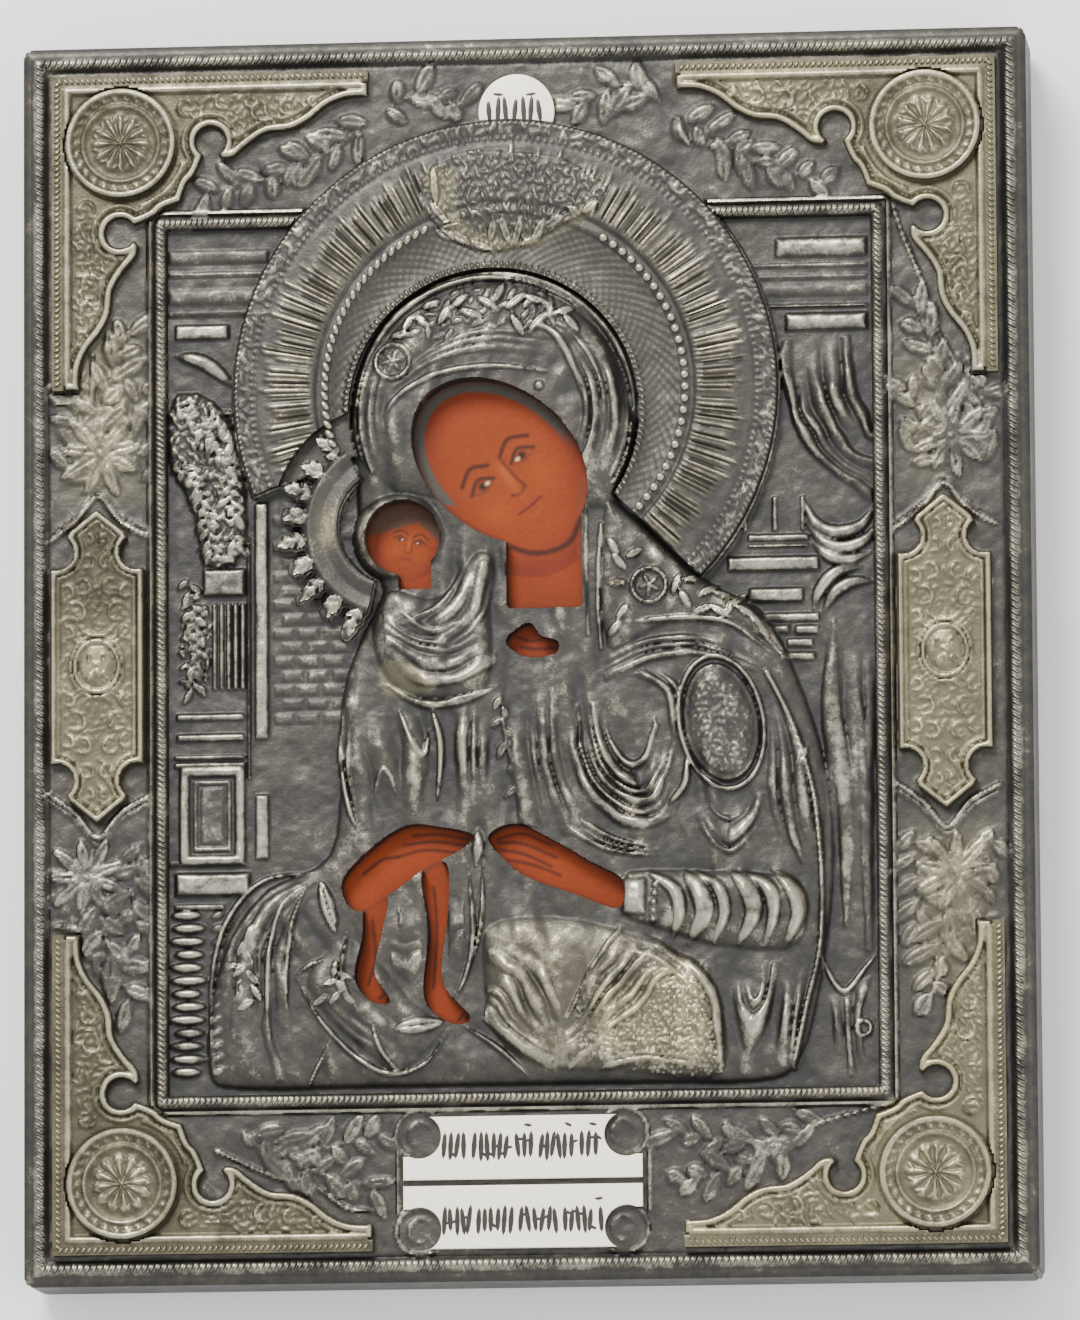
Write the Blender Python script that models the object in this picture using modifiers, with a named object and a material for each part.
"""Icon panel: a painted wooden board under a repousse metal cover with applied plates.

The panel lies on its back. +X is the picture's right, +Y its top and +Z faces the viewer.
The origin is on the back of the board, under its middle.
"""

import math

import bmesh
import bpy
import numpy as np
from mathutils import Vector
from mathutils.geometry import delaunay_2d_cdt

MM = 0.001

# Driving dimensions, in metres
PANEL_WIDTH = 0.2200
PANEL_HEIGHT = 0.2720
BOARD_THICKNESS = 0.0220
BOARD_EDGE_BEVEL = 0.0012
FIT_GAP = 0.0003
SIDE_WALL = 0.0012
FACE_WALL = 0.0016
SKIRT_REACH = 0.0180
PANEL_CORNER_RADIUS = 0.0022

BAND_WIDTH_X = 0.0315
BAND_WIDTH_Y = 0.0396
FIELD_SHIFT_X = -0.0012
BAND_LEVEL = 0.0012
RIM_WIDTH = 0.0023
ROPE_WIDTH = 0.0026
ROPE_HEIGHT = 0.0017
FILLET_WIDTH = 0.0012
FILLET_HEIGHT = 0.0009
FILLET_STEP = 0.0023

PLATE_INSET = 0.0066
PLATE_THICKNESS = 0.0013
PLATE_RIM_WIDTH = 0.0016
PLATE_RIM_HEIGHT = 0.0010
ARM_END_GAP = 0.0078

MEDALLION_RADIUS = 0.0120
MEDALLION_INSET = 0.0153
MEDALLION_THICKNESS = 0.0022
WELL_DEPTH = 0.0002

CARTOUCHE_WIDTH = 0.0205
CARTOUCHE_LENGTH = 0.0690
CARTOUCHE_INSET_X = 0.0176
CARTOUCHE_DROP = 0.0010
CARTOUCHE_THICKNESS = 0.0016
CARTOUCHE_RIM = 0.0013

TITLE_WIDTH = 0.0519
TITLE_HEIGHT = 0.0140
TITLE_BITE_RADIUS = 0.0048
TITLE_THICKNESS = 0.0010
TITLE_SPACING = 0.0013
TITLE_BOTTOM_INSET = 0.0066

DISC_RADIUS = 0.0083
# The disc's middle stands this far above the top of the mother's halo
DISC_RISE = 0.0019
DISC_THICKNESS = 0.0010

HALO_THICKNESS = 0.0011
HALO_RELIEF = 0.0020

# The figures are drawn in millimetres on a field this tall, and follow the height of the real field.
DRAWN_HEIGHT = 0.1928
FIELD_WIDTH = PANEL_WIDTH - 2 * BAND_WIDTH_X
FIELD_HEIGHT = PANEL_HEIGHT - 2 * BAND_WIDTH_Y
DRAWN = FIELD_HEIGHT / DRAWN_HEIGHT

# Levels above the back of the board
COVER_UNDERSIDE = BOARD_THICKNESS + FIT_GAP
FIELD_GROUND = COVER_UNDERSIDE + FACE_WALL
BAND_GROUND = FIELD_GROUND + BAND_LEVEL
PLATE_BASE = BAND_GROUND + FIT_GAP
SKIRT_BOTTOM = BOARD_THICKNESS - SKIRT_REACH

SAMPLE_STEP = 0.8 * MM
SHEET_POINTS = 1080
BED_MARGIN = 1.7 * MM
BED_PLAY = 0.02 * MM

# Places of the head, the halos and the openings, on the drawn picture
HALO_CENTRE = (-4.0, 58.0)
HALO_RADIUS = 59.5
PEARL_RADIUS = 39.3
RAY_RADIUS = 54.6
HALO_START = -44.5
HALO_END = 202.0
VEIL_CENTRE = (-6.5, 53.0)
VEIL_RADIUS = 30.5
CHILD_HALO_CENTRE = (-28.0, 28.5)
CHILD_HALO_RADIUS = 27.0
CHILD_HALO_INNER = 13.0
CHILD_HALO_START = 130.0
CHILD_HALO_END = 245.0
CHILD_HEAD = (-26.6, 26.0)
CHILD_HEAD_RADIUS = 8.2
FACE_CENTRE = (-5.2, 42.4)
FACE_LENGTH = 21.5
FACE_BREADTH = 15.6
FACE_TILT = 40.0


# Lines and outlines


def spline(points, closed=False, steps=6):
    """A smooth line through the points."""
    knots = [np.array(p, float) for p in points]
    count = len(knots)
    spans = count if closed else count - 1
    line = []
    for i in range(spans):
        if closed:
            before, start, end, after = (knots[(i + k) % count] for k in (-1, 0, 1, 2))
        else:
            start, end = knots[i], knots[i + 1]
            before = knots[i - 1] if i else 2 * start - end
            after = knots[i + 2] if i + 2 < count else 2 * end - start
        for k in range(steps):
            t = k / steps
            line.append(0.5 * (2 * start + (end - before) * t
                               + (2 * before - 5 * start + 4 * end - after) * t * t
                               + (3 * start - before - 3 * end + after) * t ** 3))
    if not closed:
        line.append(knots[-1])
    return np.array(line)


def arc(centre, radius, start, end, count):
    """Points on a circle, from one angle to another, in degrees."""
    turns = np.radians(np.linspace(start, end, count))
    return np.stack([centre[0] + radius * np.cos(turns), centre[1] + radius * np.sin(turns)], -1)


def ellipse(centre, long_half, short_half, tilt, count=32):
    """An oval whose long axis leans by the tilt, in degrees from +X."""
    turns = np.radians(np.arange(count) * 360 / count)
    along, across = long_half * np.cos(turns), short_half * np.sin(turns)
    c, s = math.cos(math.radians(tilt)), math.sin(math.radians(tilt))
    return np.stack([centre[0] + along * c - across * s, centre[1] + along * s + across * c], -1)


def rounded_box(x0, y0, x1, y1, radius, count=4):
    """A rectangle with rounded corners, from its lower left and upper right."""
    corners = [((x1 - radius, y1 - radius), 0), ((x0 + radius, y1 - radius), 90),
               ((x0 + radius, y0 + radius), 180), ((x1 - radius, y0 + radius), 270)]
    return np.concatenate([arc(c, radius, a, a + 90, count) for c, a in corners])


# The relief


class Relief:
    """Heights over a regular grid of points, in millimetres of the drawn picture."""

    def __init__(self, xs, ys):
        self.xs, self.ys = xs, ys
        self.form = np.zeros((len(ys), len(xs)))
        self.folds = np.zeros_like(self.form)

    def window(self, line, reach):
        """The part of the grid that lies near a line."""
        x0, x1 = np.searchsorted(self.xs, [line[:, 0].min() - reach, line[:, 0].max() + reach])
        y0, y1 = np.searchsorted(self.ys, [line[:, 1].min() - reach, line[:, 1].max() + reach])
        return slice(y0, y1), slice(x0, x1)

    def distance(self, line, cells):
        """The distance to a line, and how far along it the nearest point is, from 0 to 1."""
        gx, gy = np.meshgrid(self.xs[cells[1]], self.ys[cells[0]])
        best = np.full(gx.shape, 1e9)
        share = np.zeros(gx.shape)
        for i in range(len(line) - 1):
            ax, ay = line[i]
            dx, dy = line[i + 1] - line[i]
            t = np.clip(((gx - ax) * dx + (gy - ay) * dy) / max(dx * dx + dy * dy, 1e-9), 0, 1)
            d = np.hypot(gx - ax - t * dx, gy - ay - t * dy)
            nearer = d < best
            best[nearer] = d[nearer]
            share[nearer] = (i + t[nearer]) / (len(line) - 1)
        return best, share

    def inside(self, outline, cells):
        gx, gy = np.meshgrid(self.xs[cells[1]], self.ys[cells[0]])
        found = np.zeros(gx.shape, bool)
        for (ax, ay), (bx, by) in zip(outline, np.roll(outline, -1, axis=0)):
            crosses = (ay > gy) != (by > gy)
            found ^= crosses & (gx < (bx - ax) * (gy - ay) / (by - ay + 1e-12) + ax)
        return found

    def depth_in(self, outline, cells):
        """How far inside the outline each point is, negative outside."""
        closed = np.concatenate([outline, outline[:1]])
        away, _ = self.distance(closed, cells)
        return np.where(self.inside(outline, cells), away, -away)

    def pillow(self, outline, height, edge, base=0.0):
        """A rounded swelling that fills an outline."""
        cells = self.window(outline, 1)
        rise = np.clip(self.depth_in(outline, cells) / edge, 0, 1)
        lift = base * (rise > 0) + height * np.sqrt(1 - (1 - rise) ** 2)
        self.form[cells] = np.maximum(self.form[cells], lift)

    def bed(self, outline, margin):
        """The points that lie under an applied piece, or within the margin of it."""
        found = np.zeros(self.form.shape, bool)
        cells = self.window(outline, margin)
        found[cells] = self.depth_in(outline, cells) > -margin
        return found

    def ridge(self, line, width, height, pointed=True):
        """A rounded fold or bar along a line, thinner at its ends where it is pointed."""
        cells = self.window(line, width)
        away, share = self.distance(line, cells)
        swell = np.sin(np.pi * np.clip(share, 0.02, 0.98)) ** 0.6 if pointed else 1.0
        lift = height * swell * np.sqrt(np.clip(1 - (away / (width * swell)) ** 2, 0, 1))
        self.folds[cells] = np.maximum(self.folds[cells], lift)

    def fan(self, rail_a, rail_b, count, width, height, sag=(0.0, 0.0)):
        """Folds from one rail to another, hanging by the sag."""
        first, second = spline(rail_a, steps=12), spline(rail_b, steps=12)
        for i in range(count):
            t = (i + 0.5) / count
            a = first[int(t * (len(first) - 1))]
            b = second[int(t * (len(second) - 1))]
            middle = (a + b) / 2 + np.array(sag) * (1 - 0.6 * t)
            self.ridge(spline([a, middle, b]), width, height)

    def lump(self, x, y, along, across, turn, height):
        """A small oval swelling, such as a petal, a brick or a bead."""
        reach = max(along, across)
        cells = self.window(np.array([[x, y]]), reach)
        gx, gy = np.meshgrid(self.xs[cells[1]] - x, self.ys[cells[0]] - y)
        c, s = math.cos(math.radians(turn)), math.sin(math.radians(turn))
        out = ((gx * c + gy * s) / along) ** 2 + ((gy * c - gx * s) / across) ** 2
        lift = height * np.sqrt(np.clip(1 - out, 0, 1))
        self.folds[cells] = np.maximum(self.folds[cells], lift)

    def flower(self, x, y, size, petals, height, turn=0.0):
        """Petals set round a middle."""
        for i in range(petals):
            angle = turn + 360 * i / petals
            reach = size * 0.58
            px = x + reach * math.cos(math.radians(angle))
            py = y + reach * math.sin(math.radians(angle))
            self.lump(px, py, size * 0.5, size * 0.2, angle, height)
        self.lump(x, y, size * 0.25, size * 0.25, 0, height * 1.2)


def face_opening():
    """The opening over the head and neck: a leaning oval joined to a straight neck."""
    return ellipse(FACE_CENTRE, FACE_LENGTH, FACE_BREADTH, 180 - FACE_TILT, 28)


def neck_opening():
    return rounded_box(-4.0, 10.0, 12.6, 38.0, 1.0, 2)


CHILD_NECK = rounded_box(-27.6, 14.6, -20.4, 22.0, 0.8, 2)
CHILD_HAND = spline([(-4.2, 2.6), (-2.0, 5.4), (1.2, 6.8), (3.4, 4.0), (7.2, 2.6), (6.4, -0.2), (0.0, -0.6)],
                    True, 2)
LEFT_HAND = spline([(-40.2, -49.0), (-33.0, -41.2), (-26.0, -37.0), (-19.0, -37.4), (-11.8, -39.2),
                    (-14.0, -42.4), (-22.0, -46.4), (-29.0, -51.4), (-37.0, -55.6)], True, 2)
RIGHT_HAND = spline([(-8.2, -39.6), (-2.2, -37.0), (6.0, -40.8), (14.0, -45.6), (20.8, -49.6), (20.0, -55.8),
                     (10.0, -52.4), (0.0, -48.6), (-5.6, -44.0)], True, 2)
LEFT_LEG = spline([(-35.2, -54.6), (-30.2, -52.6), (-31.6, -61.0), (-33.0, -69.0), (-29.6, -75.4),
                   (-34.0, -75.2), (-37.4, -70.0), (-35.8, -61.0)], True, 2)
RIGHT_LEG = spline([(-22.8, -47.4), (-17.4, -45.4), (-17.0, -55.0), (-18.4, -70.8), (-12.4, -78.8),
                    (-16.6, -80.2), (-22.4, -74.6), (-21.4, -60.0)], True, 2)

BODY = spline([(-30, -93.6), (-62, -93.6), (-69.4, -90), (-68.8, -74), (-64, -60), (-56, -50), (-43, -43),
               (-40.5, -24), (-40, -8), (-36, 4), (-31, 15), (-37, 24), (-36.5, 33), (-37.5, 50),
               (-34.5, 66), (-25, 78), (-7, 83.5), (11, 77), (21, 64), (24, 48), (21, 34), (38, 16), (51, 9),
               (59, -6), (65, -26), (66.5, -50), (62.5, -78), (58, -90), (50, -93.6), (20, -93.6)], True, 4)
VEIL = spline([(-37.5, 47), (-35, 64), (-25.5, 77), (-7, 83.2), (10.5, 77.5), (20.5, 64.5), (23.8, 48),
               (20.6, 33), (14, 30), (-20, 33), (-31, 36)], True, 4)
TUNIC = spline([(-34, 4), (-32, 12), (-28, 15.5), (-19, 14), (-11, 23.5), (-5.4, 21), (-6.2, 8), (-6, -3),
                (-9, -9.6), (-17, -11), (-26, -9.6), (-32, -4)], True, 4)
HOOD = ellipse((-27.2, 26.4), 10.4, 10.2, 0)
COLLAR = spline([(16.4, 33), (24, 30), (38, 16.5), (50, 9), (57, -3), (48, 3), (32, 5.2), (17, 0.4)], True, 4)
SHOULDER = ellipse((42.6, -15.8), 14.2, 8.8, 100)
SLEEVE = spline([(20.4, -49), (24, -46.6), (40, -47), (58, -49), (62, -58), (58, -66), (42, -65.5), (30, -62),
                 (20, -57.6)], True, 4)
KNEE = spline([(-9, -58), (6, -56), (20, -59), (32, -64), (42, -72), (43.5, -92), (20, -92), (2, -91),
               (-8, -84), (-11, -70)], True, 4)
SHIELD = spline([(-49.5, -69.5), (-44, -79), (-36, -87.4), (-29, -91.6), (-22, -88.4), (-16.4, -80.4),
                 (-24, -74), (-38, -60)], True, 4)


def carve_figures(sheet):
    """The two figures: their mass first, then the folds that ride on it."""
    sheet.pillow(BODY, 2.6, 6.0)
    sheet.pillow(VEIL, 4.6, 9.0)
    sheet.pillow(HOOD, 4.8, 5.0)
    sheet.pillow(TUNIC, 4.8, 7.0)
    sheet.pillow(COLLAR, 3.8, 4.0)
    sheet.pillow(SHOULDER, 5.4, 7.0)
    sheet.pillow(SLEEVE, 4.8, 6.0)
    sheet.pillow(KNEE, 4.6, 8.0)
    sheet.pillow(SHIELD, 3.6, 5.0)
    # Veil: folds that follow its edge on the right, and a band of flowers over the brow
    for radius in (27.6, 24.2, 20.6):
        sheet.ridge(arc(VEIL_CENTRE, radius, -32, 62, 14), 1.2, 1.0)
    for x, y in ((-27, 66), (-19, 75), (-9, 78.5), (1, 77), (9, 71)):
        sheet.flower(x, y, 4.6, 6, 0.9)
    # Child's tunic: swags from the shoulders, a sash, then the skirt
    sheet.fan([(-31, 8), (-32, -4)], [(-12, 20), (-6.5, 0)], 5, 1.5, 1.0, (-1.0, -6.0))
    sheet.ridge(spline([(-30, -6.5), (-22, -10.6), (-14, -9.0)]), 1.8, 1.1)
    sheet.ridge(spline([(-39.5, -12), (-40, -24), (-36.5, -37)]), 1.4, 1.6)
    sheet.ridge(spline([(-32, -33), (-31, -26), (-27.5, -31)]), 1.4, 1.3)
    sheet.ridge(spline([(-29, -14), (-24.5, -19.5), (-21.5, -21)]), 1.6, 1.4)
    sheet.ridge(spline([(-20.5, -11), (-18.5, -21), (-19.5, -32)]), 1.5, 1.6)
    for x, top in ((-14.4, -13), (-11.4, -10), (-8.6, -9), (-4.6, -6)):
        sheet.ridge(spline([(x, top), (x + 0.6, -23), (x + 0.9, -37)]), 1.3, 1.4)
    # Cloak: hanging loops over the chest, and a line of jewels on its edge
    for i in range(5):
        drop = 15.5 - 3.1 * i
        sheet.ridge(spline([(20 - drop, -13 - i), (20 - 0.72 * drop, -20 - 0.72 * drop), (21, -22 - drop),
                            (22 + 0.8 * drop, -20 - 0.7 * drop), (21 + drop, -15 - i)]), 1.6, 1.5)
    for x, y, size in ((27.2, 14.4, 3.6), (34.6, 12, 2.6), (42, 10.8, 3.2), (49, 7.6, 2.4), (20.6, 20, 2.4)):
        sheet.lump(x, y, size, size * 0.85, 0, 1.3)
    for i in range(4):
        sheet.ridge(spline([(38.4, -30 - 4 * i), (44.6, -37.4 - 3.6 * i), (51, -32 - 3.4 * i)]), 1.6, 1.4)
    sheet.ridge(spline([(48, 3), (56, -12), (62, -28), (64, -52), (61, -78), (57.6, -92)]), 1.3, 1.2)
    sheet.ridge(spline([(52, -6), (53, -24), (53.6, -38), (60, -60)]), 1.3, 1.2)
    # Sleeve, knee and the drapery below it
    for i in range(5):
        x = 25 + 7.4 * i
        sheet.ridge(spline([(x, -47.5), (x + 4.6, -53), (x + 1, -59 - i), (x - 3.5, -61)]), 1.9, 1.5)
    for i in range(5):
        left, right = (-8 + 1.5 * i, -60 - 1.5 * i), (19 + 3 * i, -60 - 2.2 * i)
        sheet.ridge(spline([left, (2 + 2 * i, -69 - 4.2 * i), right]), 1.5, 1.3)
    for i in range(4):
        sheet.ridge(spline([(44.6 + 4.4 * i, -68), (47 + 3.4 * i, -81), (44.8 + 3 * i, -92)]), 1.6, 1.6)
    # Robe on the left, and the drape between the feet
    for i in range(4):
        foot = -69 + 5.4 * i
        line = spline([(-47 - i * 0.6, -47.4 - i), (foot + 4.4, -64), (foot + 0.6, -78), (foot + 1, -91)])
        sheet.ridge(line, 1.2, 1.2)
    sheet.flower(-61.2, -66, 6.4, 7, 1.2)
    sheet.flower(-41.0, -70, 5.4, 7, 1.1)
    for i in range(3):
        sheet.ridge(spline([(-28, -58 - 5.4 * i), (-25.4, -62 - 5.4 * i), (-22.6, -58 - 5.4 * i)]), 1.2, 1.0)
    sheet.ridge(spline([(-48, -71), (-42, -81), (-29.5, -90.6), (-21, -87), (-17.4, -81.6)]), 1.2, 1.0)


def carve_setting(sheet):
    """The building and the hangings on either side of the figures."""
    # Left: mouldings, bars, a tree, a fluted column, a panelled base and a row of balusters
    for y in (88.6, 86.2, 77.4):
        sheet.ridge(np.array([(-77, y), (-56, y)]), 0.9, 0.7, False)
    sheet.ridge(np.array([(-74.6, 73), (-64.6, 73)]), 1.6, 1.5, False)
    sheet.ridge(spline([(-75.4, 67.2), (-69.6, 65.4), (-64.2, 60.6)]), 1.4, 1.5, False)
    for i in range(14):
        sheet.lump(-71.6 + 4.4 * math.sin(i * 2.4) + 0.45 * i, 56 - 2.5 * i, 3.0, 1.7, 40 + 77 * i, 1.5)
    sheet.ridge(spline([(-68, 12), (-72, 5), (-71, -6)]), 1.4, 1.1)
    sheet.pillow(rounded_box(-70.6, 14.2, -61.4, 19.8, 0.5, 2), 2.0, 0.8)
    for i in range(4):
        sheet.ridge(np.array([(-68 + 1.7 * i, 13), (-68 + 1.7 * i, -6.4)]), 0.9, 1.2, False)
    sheet.ridge(np.array([(-57.6, 33.6), (-57.6, -16.6)]), 1.4, 1.7, False)
    sheet.ridge(np.array([(-57.6, -29.8), (-57.6, -43)]), 1.4, 1.5, False)
    for y in (-12.3, -16.6, -21.6):
        sheet.ridge(np.array([(-76.4, y), (-61.6, y)]), 1.1, 1.2, False)
    for inset in (0.8, 3.2):
        frame = rounded_box(-74.6 + inset, -43.4 + inset, -62.8 - inset, -24.4 - inset, 0.4, 2)
        sheet.ridge(np.concatenate([frame, frame[:1]]), 0.9, 1.4 - 0.2 * inset, False)
    sheet.pillow(rounded_box(-77.4, -51.8, -60.8, -46.4, 0.6, 2), 2.0, 1.0)
    for i in range(12):
        sheet.lump(-73.4, -55.8 - 3.02 * i, 3.4, 1.25, 0, 1.5)
    # Right: mouldings, blocks, a window, bricks and the curtain
    for y in (84.4, 76.2):
        sheet.ridge(np.array([(54, y), (75, y)]), 0.9, 0.8, False)
    sheet.pillow(rounded_box(55, 86.4, 72.6, 90.6, 0.6, 2), 1.2, 1.0)
    sheet.pillow(rounded_box(58.6, 70.4, 71.6, 74, 0.6, 2), 1.6, 1.0)
    for x in (48.4, 54.6, 60.4):
        sheet.ridge(np.array([(x, 34), (x, 26)]), 0.9, 0.9, False)
    sheet.ridge(np.array([(49, 24)]) + np.array([[0, 0], [13, 0]]), 1.3, 1.1, False)
    sheet.pillow(rounded_box(44, 17.4, 63.6, 20.8, 0.5, 2), 1.8, 0.9)
    sheet.pillow(rounded_box(49.4, 10.4, 60.6, 13.8, 0.5, 2), 1.8, 0.9)
    for i in range(8):
        sheet.lump(58.4 + 4.4 * (i % 2) - 0.5 * (i // 2), 7.6 - 2.9 * (i // 2), 2.4, 1.2, 0, 1.3)
    for i in range(5):
        top, low = [(57.8 + 3.4 * i, 66), (58.6 + 3.2 * i, 52)], [(62 + 2.8 * i, 41 + i), (74, 31 + 3.6 * i)]
        sheet.ridge(spline(top + low), 1.3, 1.5)
    for i in range(4):
        sheet.ridge(spline([(61 + i, 30 - 4.8 * i), (67, 24.6 - 3.6 * i), (74.4, 26.4 - 3.8 * i)]), 1.8, 1.7)
    for x, lean in ((66, -1.6), (69.6, 0.4), (73.4, 1.0)):
        sheet.ridge(spline([(x + 1.6, 12), (x + lean, -10), (x + lean, -40), (x, -66)]), 1.7, 1.6)
    sheet.ridge(spline([(63.6, -64), (69, -73.6), (75.4, -67)]), 1.3, 1.3)
    sheet.ridge(spline([(65, -72), (67.4, -82), (68, -92)]), 1.2, 1.1)
    sheet.ridge(spline([(73.6, -71), (71.2, -80), (74, -92)]), 1.2, 1.1)
    sheet.lump(72.6, -82.4, 1.7, 1.7, 0, 1.4)


def carve_band(sheet):
    """Flower sprays, arches and scrolls on the border band, in millimetres of the real panel."""
    half_w, half_h = PANEL_WIDTH / 2 / MM, PANEL_HEIGHT / 2 / MM
    side = half_w - CARTOUCHE_INSET_X / MM
    reach = CARTOUCHE_LENGTH / 2 / MM
    drop = CARTOUCHE_DROP / MM
    for sign in (-1, 1):
        x = sign * side + FIELD_SHIFT_X / MM
        for up in (1, -1):
            peak, foot = up * (reach + 2.0) - drop, up * (reach - 8.0) - drop
            sheet.ridge(np.array([(x - 10.6, foot), (x, peak), (x + 10.6, foot)]), 1.0, 0.9, False)
            middle = up * (reach + 13.5) - drop
            sheet.flower(x, middle, 8.4, 9, 1.3, 20)
            for i in range(4):
                bud = (x - sign * (1.5 + 1.6 * i), middle + up * (8.5 + 4.2 * i))
                sheet.lump(*bud, 3.4, 1.5, up * sign * 62, 1.1)
    for x, turn in ((-18, 70), (18, 110)):
        sheet.flower(x, half_h - 15.0, 6.0, 6, 1.1, turn)
    for side_sign in (-1, 1):
        for i in range(9):
            low = -half_h + 25.5 + 4.0 * math.sin(i * 1.9)
            high = half_h - 26 - 0.8 * i + 2.4 * math.sin(i * 2.1)
            sheet.lump(side_sign * (36 + 3.6 * i), low, 3.4, 1.5, 35 + 53 * i, 1.1)
            sheet.lump(side_sign * (44 + 3.0 * i), high, 2.8, 1.3, 20 + 61 * i, 0.8)
    title_x = FIELD_SHIFT_X / MM
    bottom = -half_h + TITLE_BOTTOM_INSET / MM
    top = bottom + (2 * TITLE_HEIGHT + TITLE_SPACING) / MM
    for sign in (-1, 1):
        for y in (top - 4.4, bottom + 4.4):
            middle = (title_x + sign * (TITLE_WIDTH / 2 / MM - 3.9), y)
            sheet.ridge(arc(middle, TITLE_BITE_RADIUS / MM + 0.9, 0, 360, 17), 0.9, 0.9, False)


def framed(sheet, left, bottom, right, top, width, height):
    """A rib round a rectangle."""
    ring = np.array([(left, bottom), (right, bottom), (right, top), (left, top), (left, bottom)])
    sheet.ridge(ring, width / 2, height, False)


def cover_heights(xs, ys, beds):
    """The height of the cover's face above the field's ground, in metres, over the whole panel.

    It is flat, at the band's level, in the beds: the outlines of the applied pieces, in metres.
    """
    half_w, half_h = PANEL_WIDTH / 2 / MM, PANEL_HEIGHT / 2 / MM
    field = [(FIELD_SHIFT_X - FIELD_WIDTH / 2) / MM, -FIELD_HEIGHT / 2 / MM,
             (FIELD_SHIFT_X + FIELD_WIDTH / 2) / MM, FIELD_HEIGHT / 2 / MM]
    picture = Relief(xs / DRAWN, ys / DRAWN)
    carve_setting(picture)
    carve_figures(picture)
    band = Relief(xs, ys)
    carve_band(band)
    gx, gy = np.meshgrid(xs, ys)
    in_field = (gx > field[0]) & (gx < field[2]) & (gy > field[1]) & (gy < field[3])
    picture_height = (picture.form + picture.folds) * DRAWN
    height = np.where(in_field, picture_height, BAND_LEVEL / MM + band.folds)
    # The inner frame, then the rope near the edge with the groove inside it, then the plain rim
    border = Relief(xs, ys)
    rope, fillet, step = ROPE_WIDTH / MM, FILLET_WIDTH / MM, FILLET_STEP / MM
    framed(border, *field, rope, ROPE_HEIGHT / MM)
    outer = [field[0] - step, field[1] - step, field[2] + step, field[3] + step]
    framed(border, *outer, fillet, FILLET_HEIGHT / MM)
    near_frame = border.folds > 0
    height = np.where(near_frame, np.maximum(height, BAND_LEVEL / MM + border.folds), height)
    edge = np.minimum(half_w - np.abs(gx), half_h - np.abs(gy))
    rim = RIM_WIDTH / MM
    rope_middle = rim + rope / 2
    on_rope = np.abs(edge - rope_middle) < rope / 2
    rope_lift = ROPE_HEIGHT / MM * np.sqrt(np.clip(1 - ((edge - rope_middle) / (rope / 2)) ** 2, 0, 1))
    height = np.where(on_rope, BAND_LEVEL / MM + rope_lift, height)
    height = np.where(edge < rim, BAND_LEVEL / MM - 0.9 * np.clip(1 - edge / rim, 0, 1) ** 2, height)
    for outline in beds:
        height[border.bed(outline / MM, BED_MARGIN / MM)] = BAND_LEVEL / MM
    return height * MM


# Building blocks


def clear_scene():
    for obj in list(bpy.data.objects):
        bpy.data.objects.remove(obj, do_unlink=True)


def collection(name):
    made = bpy.data.collections.new(name)
    bpy.context.scene.collection.children.link(made)
    return made


def material(name, colour, roughness, metallic):
    made = bpy.data.materials.new(name)
    made.use_nodes = True
    shader = made.node_tree.nodes["Principled BSDF"]
    shader.inputs["Base Color"].default_value = (*colour, 1.0)
    shader.inputs["Roughness"].default_value = roughness
    shader.inputs["Metallic"].default_value = metallic
    return made


def object_of(mesh, name, group, finish=None):
    made = bpy.data.objects.new(name, mesh)
    group.objects.link(made)
    if finish:
        mesh.materials.append(finish)
        mesh.shade_smooth()
        mesh.set_sharp_from_angle(angle=math.radians(35))
    return made


def mesh_of(bm, name):
    bmesh.ops.recalc_face_normals(bm, faces=bm.faces)
    mesh = bpy.data.meshes.new(name)
    bm.to_mesh(mesh)
    bm.free()
    return mesh


def prism(outline, low, high, name):
    """A mesh of a flat outline, in metres, made thick between two levels.

    The curve is filled in millimetres, because a filled curve a few thousandths across loses its caps.
    """
    curve = bpy.data.curves.new(name + "_outline", "CURVE")
    curve.dimensions = "2D"
    curve.fill_mode = "BOTH"
    curve.extrude = (high - low) / 2 / MM
    line = curve.splines.new("POLY")
    line.points.add(len(outline) - 1)
    for point, (x, y) in zip(line.points, outline):
        point.co = (x / MM, y / MM, 0, 1)
    line.use_cyclic_u = True
    holder = bpy.data.objects.new(name + "_outline", curve)
    bpy.context.scene.collection.objects.link(holder)
    bpy.context.view_layer.update()
    evaluated = holder.evaluated_get(bpy.context.evaluated_depsgraph_get())
    mesh = bpy.data.meshes.new_from_object(evaluated)
    bpy.data.objects.remove(holder, do_unlink=True)
    bm = bmesh.new()
    bm.from_mesh(mesh)
    bmesh.ops.remove_doubles(bm, verts=bm.verts, dist=0.01)
    bmesh.ops.scale(bm, verts=bm.verts, vec=(MM, MM, MM))
    bmesh.ops.translate(bm, verts=bm.verts, vec=(0, 0, (low + high) / 2))
    bmesh.ops.recalc_face_normals(bm, faces=bm.faces)
    bm.to_mesh(mesh)
    bm.free()
    mesh.name = name
    return mesh


def cutter(mesh, name, group):
    made = object_of(mesh, name, group)
    made.hide_render = True
    made.display_type = "WIRE"
    return made


def cut(target, tool, operation="DIFFERENCE"):
    step = target.modifiers.new(tool.name, "BOOLEAN")
    step.operation = operation
    if isinstance(tool, bpy.types.Collection):
        step.operand_type = "COLLECTION"
        step.collection = tool
    else:
        step.object = tool


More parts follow.
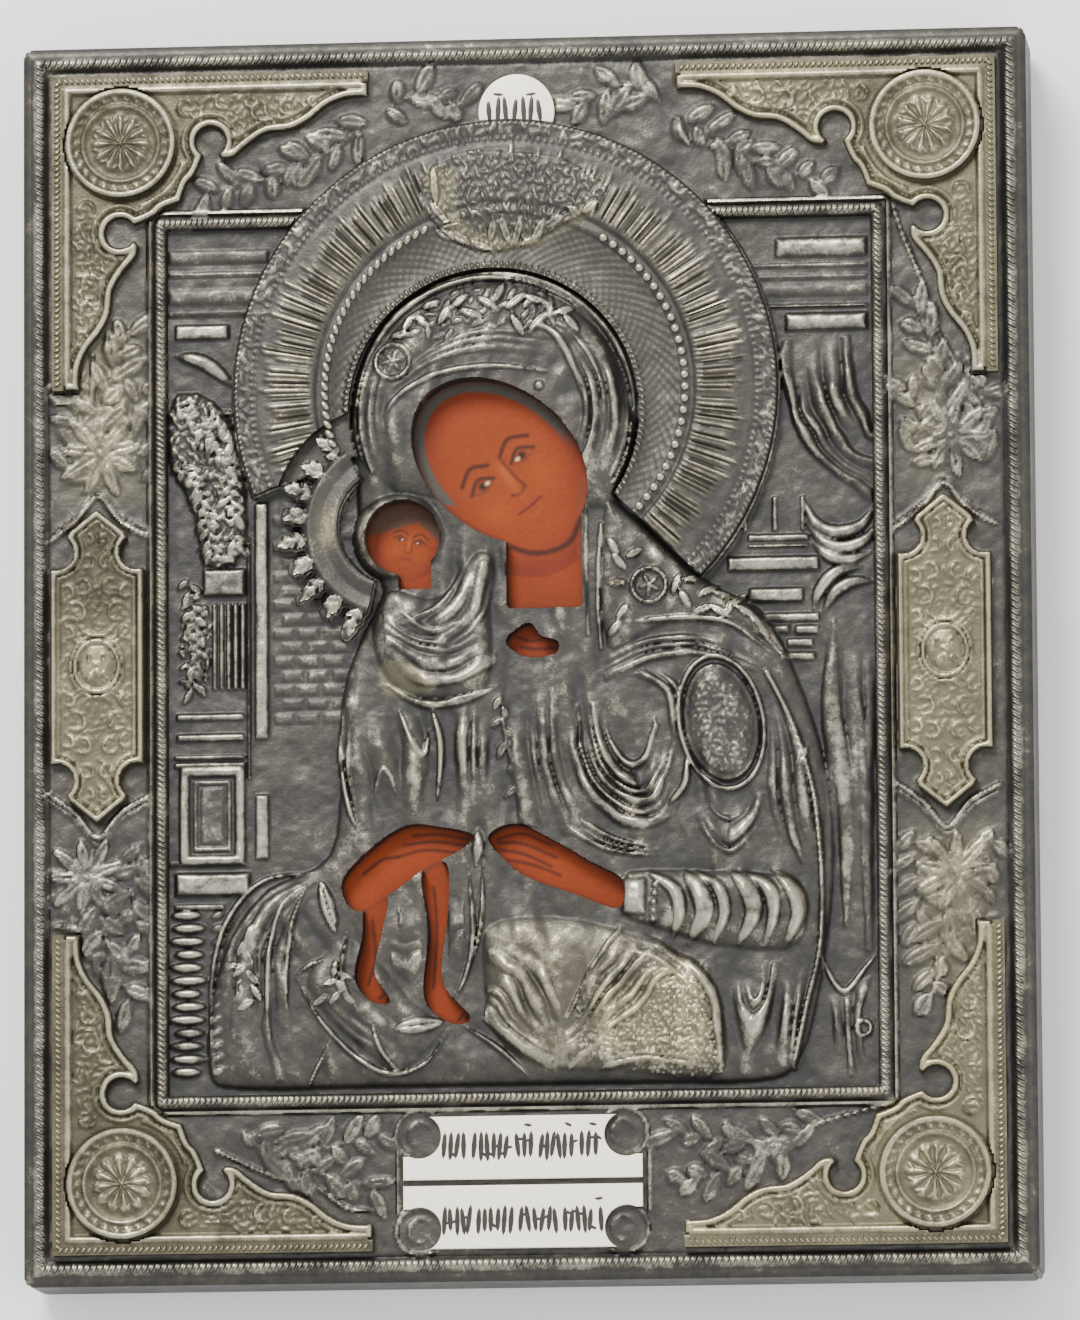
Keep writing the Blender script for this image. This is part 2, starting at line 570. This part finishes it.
def grown(outline, distance):
    """The outline moved outwards by a distance; the outline runs anticlockwise."""
    ahead = np.roll(outline, -1, axis=0) - outline
    normals = np.stack([ahead[:, 1], -ahead[:, 0]], -1)
    normals /= np.linalg.norm(normals, axis=1)[:, None] + 1e-12
    corner = normals + np.roll(normals, 1, axis=0)
    length = np.linalg.norm(corner, axis=1)[:, None]
    corner /= np.maximum(length, 1e-9)
    cosine = np.clip((corner * normals).sum(axis=1), 0.5, 1)[:, None]
    return outline + corner / cosine * distance


def anticlockwise(outline):
    x, y = outline[:, 0], outline[:, 1]
    turned = (x * np.roll(y, -1) - y * np.roll(x, -1)).sum() < 0
    return outline[::-1] if turned else outline


def inset(outline, distance):
    """The outline moved inwards, without the points that a tight corner would crowd."""
    moved = grown(outline, -distance)
    closed = np.concatenate([outline, outline[:1]])
    kept = []
    for point in moved:
        start, run = closed[:-1], np.diff(closed, axis=0)
        t = np.clip(((point - start) * run).sum(axis=1) / (run * run).sum(axis=1), 0, 1)
        away = np.linalg.norm(point - start - run * t[:, None], axis=1).min()
        if away > 0.94 * distance:
            kept.append(point)
    return np.array(kept)


def dished_plate(outline, thickness, rim_width, name, group, finish, tools):
    """A plate with a raised rim: the middle of a thick outline is cut away to the plate's thickness."""
    floor, top = PLATE_BASE + thickness, PLATE_BASE + thickness + PLATE_RIM_HEIGHT
    plate = object_of(prism(outline, PLATE_BASE, top, name), name, group, finish)
    hollow = prism(inset(outline, rim_width), floor, top + MM, name + "_hollow")
    cut(plate, cutter(hollow, name + "_hollow", tools))
    return plate


# Outlines of the applied pieces, in metres


def corner_outline(arm):
    """A corner plate with its outer corner at the origin: two arms with a scrolled inner edge."""
    size = arm / 69.5 / MM
    hole, hole_radius = np.array([34.9, 15.0]), 3.3
    edge = np.array([(69.5, 5.8), (64.5, 6.1), (60.3, 7.9), (56.6, 10.8), (52.4, 12.8), (47.4, 13.4),
                     (43.4, 15.8), (40.2, 18.4), (37.6, 19.0)])
    keyhole = arc(hole, hole_radius, 62, -240, 7)
    throat = np.array([(32.2, 20.6), (29.6, 24.4)])
    half = np.concatenate([edge, keyhole, throat])
    other = half[::-1, ::-1]
    outline = np.concatenate([[(0.0, 0.0), (69.5, 0.0)], half, [(28.2, 28.2)], other, [(0.0, 69.5)]])
    return outline * size * MM


def placed(outline, sign_x, sign_y, corner):
    """A corner plate's outline set at one of the four corners."""
    return anticlockwise((np.array(corner) - outline) * (sign_x, sign_y))


def cartouche_outline(width, length):
    """An upright plate with a pointed end above and below, and a scroll bitten from each shoulder."""
    half_w, half_l = width / 2, length / 2
    shoulder, bite = half_l * 0.62, half_w * 0.36
    neck = half_w * 0.44
    quarter = np.concatenate([
        [(half_w, shoulder)],
        arc((half_w * 0.86, shoulder + bite), bite, -70, -235, 5),
        [(neck * 1.35, shoulder + 2.2 * bite)],
    ])
    upper = np.concatenate([quarter, [(0.0, half_l)], quarter[::-1] * (-1, 1)])
    return anticlockwise(np.concatenate([upper, upper * (-1, -1)]))


def title_outline(width, height, bite, bitten_top):
    """A title plate whose two upper or two lower corners are bitten by scrolls."""
    half_w, reach = width / 2, bite * 1.86
    left = arc((-half_w + bite * 0.72, -bite * 0.95), bite, -115, 62, 8)
    right = left[::-1] * (-1, 1)
    low = -height
    feet = [(-half_w, low), (-half_w, -reach)], [(half_w, -reach), (half_w, low)]
    outline = np.concatenate([feet[0], left, right, feet[1]])
    if not bitten_top:
        outline = outline * (1, -1) + (0, -height)
    return anticlockwise(outline)


def halo_outline(margin=0.0):
    """The mother's halo in plan: a broad ring, open below, in drawn millimetres."""
    outer = arc(HALO_CENTRE, HALO_RADIUS + margin, HALO_START - margin, HALO_END + margin, 48)
    turns = np.radians(np.linspace(HALO_END + margin, HALO_START - margin, 24))
    inner = np.array([halo_point(turn, -1, margin) for turn in turns]) / DRAWN / MM
    return np.concatenate([outer, inner])


def child_halo_outline(margin=0.0):
    """The child's halo in plan: a comb of pointed rays on half a ring."""
    rays = 9
    rim = []
    for i in range(rays):
        t = CHILD_HALO_START + (CHILD_HALO_END - CHILD_HALO_START) * i / (rays - 1)
        rim += [(t - 5.0, CHILD_HALO_RADIUS - 7.0), (t - 1.4, CHILD_HALO_RADIUS - (2.0 if i % 2 else 0.0)),
                (t + 1.4, CHILD_HALO_RADIUS - (2.0 if i % 2 else 0.0)), (t + 5.0, CHILD_HALO_RADIUS - 7.0)]
    outer = np.array([arc(CHILD_HALO_CENTRE, r + margin, t, t, 1)[0] for t, r in rim])
    inner = arc(CHILD_HALO_CENTRE, CHILD_HALO_INNER - margin, CHILD_HALO_END + 3, CHILD_HALO_START - 3, 14)
    return np.concatenate([outer, inner])


# The pieces


def make_board(group, finish):
    """The wooden board, plain at the back and chamfered all round."""
    inner = 2 * (SIDE_WALL + FIT_GAP)
    bm = bmesh.new()
    bmesh.ops.create_cube(bm, size=1.0)
    bmesh.ops.scale(bm, verts=bm.verts, vec=(PANEL_WIDTH - inner, PANEL_HEIGHT - inner, BOARD_THICKNESS))
    bmesh.ops.translate(bm, verts=bm.verts, vec=(0, 0, BOARD_THICKNESS / 2))
    board = object_of(mesh_of(bm, "board"), "board", group, finish)
    edges = board.modifiers.new("edges", "BEVEL")
    edges.width = BOARD_EDGE_BEVEL
    edges.segments = 1
    return board


def board_pocket():
    """The hollow in the cover that takes the board, with its clearance."""
    wall = 2 * SIDE_WALL
    bm = bmesh.new()
    bmesh.ops.create_cube(bm, size=1.0)
    bmesh.ops.scale(bm, verts=bm.verts, vec=(PANEL_WIDTH - wall, PANEL_HEIGHT - wall, 2 * COVER_UNDERSIDE))
    return mesh_of(bm, "pocket")


def frame_lines(half_w, half_h):
    """Nested rectangles along the rim, the ropes and the fillet, as points and the edges between them."""
    field = np.array([FIELD_SHIFT_X - FIELD_WIDTH / 2, FIELD_SHIFT_X + FIELD_WIDTH / 2,
                      -FIELD_HEIGHT / 2, FIELD_HEIGHT / 2])
    outwards = np.array([-1, 1, -1, 1])
    panel = np.array([-half_w, half_w, -half_h, half_h])
    rope = ROPE_WIDTH / 2
    rings = [panel - outwards * reach for reach in (0, RIM_WIDTH, RIM_WIDTH + rope, RIM_WIDTH + 2 * rope)]
    rings += [field + outwards * reach for reach in (-rope, 0, rope, FILLET_STEP, FILLET_STEP + FILLET_WIDTH / 2)]
    points, edges = [], []
    for x0, x1, y0, y1 in rings:
        first = len(points)
        points += [(x0, y0), (x1, y0), (x1, y1), (x0, y1)]
        edges += [(first + k, first + (k + 1) % 4) for k in range(4)]
    return points, edges


def stray_points(facets, xs, ys, heights, count):
    """The samples that lie furthest from the facets, at most one on each facet."""
    found = []
    for corners in facets:
        low, high = corners.min(axis=0), corners.max(axis=0)
        x0, x1 = np.searchsorted(xs, [low[0], high[0]])
        y0, y1 = np.searchsorted(ys, [low[1], high[1]])
        if x0 >= x1 or y0 >= y1:
            continue
        gx, gy = np.meshgrid(xs[x0:x1], ys[y0:y1])
        (ax, ay, az), (bx, by, bz), (cx, cy, cz) = corners
        area = (bx - ax) * (cy - ay) - (cx - ax) * (by - ay)
        if abs(area) < 1e-12:
            continue
        u = ((gx - ax) * (cy - ay) - (cx - ax) * (gy - ay)) / area
        v = ((bx - ax) * (gy - ay) - (gx - ax) * (by - ay)) / area
        apart = np.abs(heights[y0:y1, x0:x1] - (az + u * (bz - az) + v * (cz - az)))
        apart[(u < 0.04) | (v < 0.04) | (u + v > 0.96)] = 0
        k, i = np.unravel_index(apart.argmax(), apart.shape)
        found.append((apart[k, i], gx[k, i], gy[k, i]))
    found.sort(key=lambda stray: (-stray[0], stray[1], stray[2]))
    return [(x, y) for apart, x, y in found[:count] if apart > 0]


def sheet_of(xs, ys, heights, height_at):
    """Facets laid on the relief: points are added where it strays most, and the mesh between them is redrawn."""
    points, edges = frame_lines(PANEL_WIDTH / 2, PANEL_HEIGHT / 2)
    while True:
        flat = [Vector(p) for p in points]
        corners, _, faces, *_ = delaunay_2d_cdt(flat, edges, [], 0, 1e-7)
        places = np.array([v[:] for v in corners])
        solid = np.column_stack([places, height_at(places[:, 0], places[:, 1])])
        if len(points) >= SHEET_POINTS:
            break
        points += stray_points(solid[np.array(faces)], xs, ys, heights, max(10, len(points) // 8))
    bm = bmesh.new()
    verts = [bm.verts.new(p) for p in solid]
    for face in faces:
        bm.faces.new([verts[i] for i in face])
    return bm


def make_cover(group, finish, beds, cutters):
    """One sheet over the face and down the sides: facets laid on the relief, closed below, then cut."""
    columns, rows = round(PANEL_WIDTH / SAMPLE_STEP), round(PANEL_HEIGHT / SAMPLE_STEP)
    xs = np.linspace(-PANEL_WIDTH / 2, PANEL_WIDTH / 2, columns + 1)
    ys = np.linspace(-PANEL_HEIGHT / 2, PANEL_HEIGHT / 2, rows + 1)
    heights = FIELD_GROUND + cover_heights(xs / MM, ys / MM, beds)

    def height_at(x, y):
        column = np.rint((x / PANEL_WIDTH + 0.5) * columns).astype(int)
        row = np.rint((y / PANEL_HEIGHT + 0.5) * rows).astype(int)
        return heights[row, column]

    bm = sheet_of(xs, ys, heights, height_at)
    rim = [e for e in bm.edges if e.is_boundary]
    skirt = bmesh.ops.extrude_edge_only(bm, edges=rim)["geom"]
    for vert in skirt:
        if isinstance(vert, bmesh.types.BMVert):
            vert.co.z = SKIRT_BOTTOM
    bmesh.ops.holes_fill(bm, edges=[e for e in bm.edges if e.is_boundary], sides=0)
    # The upright corners are rounded, as the folded sheet is
    upright = [e for e in bm.edges if all(abs(v.co.x) > 0.499999 * PANEL_WIDTH
                                          and abs(v.co.y) > 0.499999 * PANEL_HEIGHT for v in e.verts)]
    bmesh.ops.bevel(bm, geom=upright, offset=PANEL_CORNER_RADIUS, segments=2, profile=0.5, affect="EDGES")
    cover = object_of(mesh_of(bm, "cover"), "cover", group, finish)
    cut(cover, cutters)


def make_openings(group):
    """The openings that show the painted head, hands and legs."""
    deep, high = COVER_UNDERSIDE - MM, BAND_GROUND + 20 * MM
    drawn = DRAWN * MM
    outlines = {"face": face_opening(), "neck": neck_opening(),
                "child_face": ellipse(CHILD_HEAD, CHILD_HEAD_RADIUS, CHILD_HEAD_RADIUS, 0, 18),
                "child_neck": CHILD_NECK, "child_hand": CHILD_HAND, "left_hand": LEFT_HAND,
                "right_hand": RIGHT_HAND, "left_leg": LEFT_LEG, "right_leg": RIGHT_LEG}
    for name, outline in outlines.items():
        cutter(prism(anticlockwise(outline) * drawn, deep, high, "opening_" + name), "opening_" + name, group)


def clear_beds(beds, group):
    """Takes off whatever of the sheet's relief would stand in an applied piece's place."""
    for i, outline in enumerate(beds):
        room = grown(anticlockwise(outline), FIT_GAP)
        cutter(prism(room, BAND_GROUND + BED_PLAY, BAND_GROUND + 20 * MM, f"bed_{i}"), f"bed_{i}", group)


def make_corner(name, sign_x, sign_y, group, finish, tools):
    corner = (PANEL_WIDTH / 2 - PLATE_INSET, PANEL_HEIGHT / 2 - PLATE_INSET)
    arm = PANEL_WIDTH / 2 - PLATE_INSET - TITLE_WIDTH / 2 - ARM_END_GAP
    outline = placed(corner_outline(arm), sign_x, sign_y, corner)
    plate = dished_plate(outline, PLATE_THICKNESS, PLATE_RIM_WIDTH, name, group, finish, tools)
    middle = (sign_x * (corner[0] - MEDALLION_INSET), sign_y * (corner[1] - MEDALLION_INSET))
    well = ellipse(middle, MEDALLION_RADIUS + 2 * FIT_GAP, MEDALLION_RADIUS + 2 * FIT_GAP, 0, 24)
    floor = PLATE_BASE + PLATE_THICKNESS - WELL_DEPTH
    cut(plate, cutter(prism(well, floor, floor + 10 * MM, name + "_well"), name + "_well", tools))
    return outline, middle, floor + FIT_GAP


def make_medallion(name, middle, base, group, finish):
    """A turned disc: rim, outer ring, inner ring and a rosette of twelve rays."""
    steps = 24
    shares = [(0.0, 0.55), (0.24, 0.75), (0.56, 0.5), (0.70, 0.85), (0.82, 0.62), (1.0, 1.0), (1.0, 0.0)]
    bm = bmesh.new()
    verts = [bm.verts.new((MEDALLION_RADIUS * r, 0, MEDALLION_THICKNESS * z)) for r, z in shares]
    verts.append(bm.verts.new((0, 0, 0)))
    edges = [bm.edges.new(pair) for pair in zip(verts, verts[1:])]
    bmesh.ops.spin(bm, geom=verts + edges, cent=(0, 0, 0), axis=(0, 0, 1), angle=2 * math.pi, steps=steps,
                   use_merge=True)
    bmesh.ops.remove_doubles(bm, verts=bm.verts, dist=1e-6)
    for vert in bm.verts:
        radius = math.hypot(vert.co.x, vert.co.y) / MEDALLION_RADIUS
        turn = round(math.atan2(vert.co.y, vert.co.x) / (2 * math.pi) * steps)
        if 0.5 < radius < 0.6 and turn % 2:
            vert.co.z -= 0.2 * MEDALLION_THICKNESS
        if 0.2 < radius < 0.3 and turn % 2:
            vert.co.z -= 0.15 * MEDALLION_THICKNESS
    bmesh.ops.translate(bm, verts=bm.verts, vec=(*middle, base))
    return object_of(mesh_of(bm, name), name, group, finish)


def make_cartouche(name, side, group, finish, tools):
    middle = np.array([side * (PANEL_WIDTH / 2 - CARTOUCHE_INSET_X) + FIELD_SHIFT_X, -CARTOUCHE_DROP])
    outline = cartouche_outline(CARTOUCHE_WIDTH, CARTOUCHE_LENGTH) + middle
    plate = dished_plate(outline, CARTOUCHE_THICKNESS, CARTOUCHE_RIM, name, group, finish, tools)
    cut(plate, make_boss(name + "_boss", middle, tools), "UNION")
    return outline


def make_boss(name, middle, group):
    """The raised oval in the middle of a side plate, joined to it."""
    bm = bmesh.new()
    bmesh.ops.create_uvsphere(bm, u_segments=12, v_segments=6, radius=1.0)
    size = (CARTOUCHE_WIDTH * 0.25, CARTOUCHE_WIDTH * 0.33, CARTOUCHE_THICKNESS * 0.8)
    bmesh.ops.scale(bm, verts=bm.verts, vec=size)
    bmesh.ops.translate(bm, verts=bm.verts, vec=(*middle, PLATE_BASE + CARTOUCHE_THICKNESS))
    return cutter(mesh_of(bm, name), name, group)


def make_halo(group, finish, tools):
    """The mother's halo: a raised ring with pleated rays outside the pearl line and a dished band inside.

    It stops short of the circle of the child's halo.
    """
    steps = 56
    shares = [("edge", 0.25), ("border", 0.55), ("ray", 0.35), ("shoulder", 0.75), ("pearl", 1.0),
              ("dish", 0.2), ("lip", 0.45)]
    angles = np.radians(np.linspace(HALO_START, HALO_END, steps + 1))
    bm = bmesh.new()
    bmesh.ops.create_grid(bm, x_segments=steps, y_segments=len(shares) - 1, size=0.5)
    for vert in bm.verts:
        step = round((vert.co.x + 0.5) * steps)
        ring = round((vert.co.y + 0.5) * (len(shares) - 1))
        vert.co = (*halo_point(angles[step], ring), PLATE_BASE + HALO_THICKNESS)
        lift = shares[ring][1] * HALO_RELIEF
        if shares[ring][0] in ("ray", "shoulder") and step % 2:
            lift -= 0.28 * HALO_RELIEF
        vert.co.z += lift
    rim = [e for e in bm.edges if e.is_boundary]
    skirt = bmesh.ops.extrude_edge_only(bm, edges=rim)["geom"]
    for vert in skirt:
        if isinstance(vert, bmesh.types.BMVert):
            vert.co.z = PLATE_BASE
    bmesh.ops.holes_fill(bm, edges=[e for e in bm.edges if e.is_boundary], sides=0)
    bmesh.ops.triangulate(bm, faces=bm.faces)
    halo = object_of(mesh_of(bm, "mother_halo"), "mother_halo", group, finish)
    clear = CHILD_HALO_RADIUS * DRAWN * MM + FIT_GAP
    circle = ellipse(np.array(CHILD_HALO_CENTRE) * DRAWN * MM, clear, clear, 0, 48)
    trim = prism(circle, PLATE_BASE - MM, PLATE_BASE + 10 * MM, "halo_trim")
    cut(halo, cutter(trim, "halo_trim", tools))
    return halo_outline() * DRAWN * MM


def halo_point(angle, ring, margin=0.0):
    """A point of the halo, in metres: the rings run from its outer edge to the veil."""
    direction = np.array([math.cos(angle), math.sin(angle)])
    centre, veil = np.array(HALO_CENTRE), np.array(VEIL_CENTRE)
    offset = centre - veil
    # Where the ray from the halo's centre leaves the veil's circle
    along = offset @ direction
    lip = VEIL_RADIUS + 1.4 - margin
    reach = -along + math.sqrt(max(along * along - offset @ offset + lip * lip, 0))
    radii = [HALO_RADIUS, HALO_RADIUS - 1.6, RAY_RADIUS, PEARL_RADIUS + 2.6, PEARL_RADIUS,
             max((PEARL_RADIUS + reach) / 2 - 0.6, reach + 0.8), reach]
    return (centre + direction * radii[ring]) * DRAWN * MM


def make_child_halo(group, finish, tools):
    """The child's halo: pointed rays on half a ring, with a raised band inside."""
    outline = anticlockwise(child_halo_outline()) * DRAWN * MM
    solid = prism(outline, PLATE_BASE, PLATE_BASE + HALO_THICKNESS, "child_halo")
    plate = object_of(solid, "child_halo", group, finish)
    inner, outer = CHILD_HALO_INNER + 0.6, CHILD_HALO_RADIUS - 7.4
    band = np.concatenate([arc(CHILD_HALO_CENTRE, outer, CHILD_HALO_START - 2, CHILD_HALO_END + 2, 14),
                           arc(CHILD_HALO_CENTRE, inner, CHILD_HALO_END + 2, CHILD_HALO_START - 2, 12)])
    low, high = PLATE_BASE + HALO_THICKNESS / 2, PLATE_BASE + HALO_THICKNESS + HALO_RELIEF / 2
    raised = prism(anticlockwise(band) * DRAWN * MM, low, high, "child_band")
    cut(plate, cutter(raised, "child_band", tools), "UNION")
    return outline


def make_titles(group, finish):
    bottom = -PANEL_HEIGHT / 2 + TITLE_BOTTOM_INSET
    lines = {"lower_title": (bottom + TITLE_HEIGHT, False),
             "upper_title": (bottom + 2 * TITLE_HEIGHT + TITLE_SPACING, True)}
    outlines = []
    for name, (top, bitten_top) in lines.items():
        outline = title_outline(TITLE_WIDTH, TITLE_HEIGHT, TITLE_BITE_RADIUS, bitten_top) + (FIELD_SHIFT_X, top)
        object_of(prism(outline, PLATE_BASE, PLATE_BASE + TITLE_THICKNESS, name), name, group, finish)
        outlines.append(outline)
    return outlines


def make_disc(group, finish, tools):
    """The name disc at the top, trimmed where the halo's edge passes it."""
    centre = np.array(HALO_CENTRE) * DRAWN * MM
    radius = HALO_RADIUS * DRAWN * MM
    outline = ellipse((FIELD_SHIFT_X, centre[1] + radius + DISC_RISE), DISC_RADIUS, DISC_RADIUS, 0, 28)
    solid = prism(outline, PLATE_BASE, PLATE_BASE + DISC_THICKNESS, "top_disc")
    disc = object_of(solid, "top_disc", group, finish)
    reach = radius + FIT_GAP
    trim = prism(ellipse(centre, reach, reach, 0, 96), PLATE_BASE - MM, PLATE_BASE + 10 * MM, "disc_trim")
    cut(disc, cutter(trim, "disc_trim", tools))
    return outline


def main():
    clear_scene()
    panel = collection("icon_panel")
    openings = collection("cover_cutters")
    tools = collection("plate_cutters")
    wood = material("painted_wood", (0.16, 0.10, 0.06), 0.7, 0.0)
    silver = material("oxidised_silver", (0.20, 0.21, 0.22), 0.45, 1.0)
    gilt = material("worn_gilt", (0.46, 0.43, 0.34), 0.42, 1.0)
    enamel = material("white_enamel", (0.90, 0.86, 0.76), 0.2, 0.0)
    make_board(panel, wood)
    cutter(board_pocket(), "pocket", openings)
    make_openings(openings)
    beds = []
    corners = {"corner_top_left": (-1, 1), "corner_top_right": (1, 1),
               "corner_bottom_left": (-1, -1), "corner_bottom_right": (1, -1)}
    for name, (sign_x, sign_y) in corners.items():
        outline, middle, base = make_corner(name, sign_x, sign_y, panel, gilt, tools)
        make_medallion(name.replace("corner", "medallion"), middle, base, panel, gilt)
        beds.append(outline)
    for name, side in (("cartouche_left", -1), ("cartouche_right", 1)):
        beds.append(make_cartouche(name, side, panel, gilt, tools))
    beds.append(make_halo(panel, silver, tools))
    beds.append(make_child_halo(panel, silver, tools))
    beds += make_titles(panel, enamel)
    beds.append(make_disc(panel, enamel, tools))
    clear_beds(beds, openings)
    make_cover(panel, silver, beds, openings)


main()
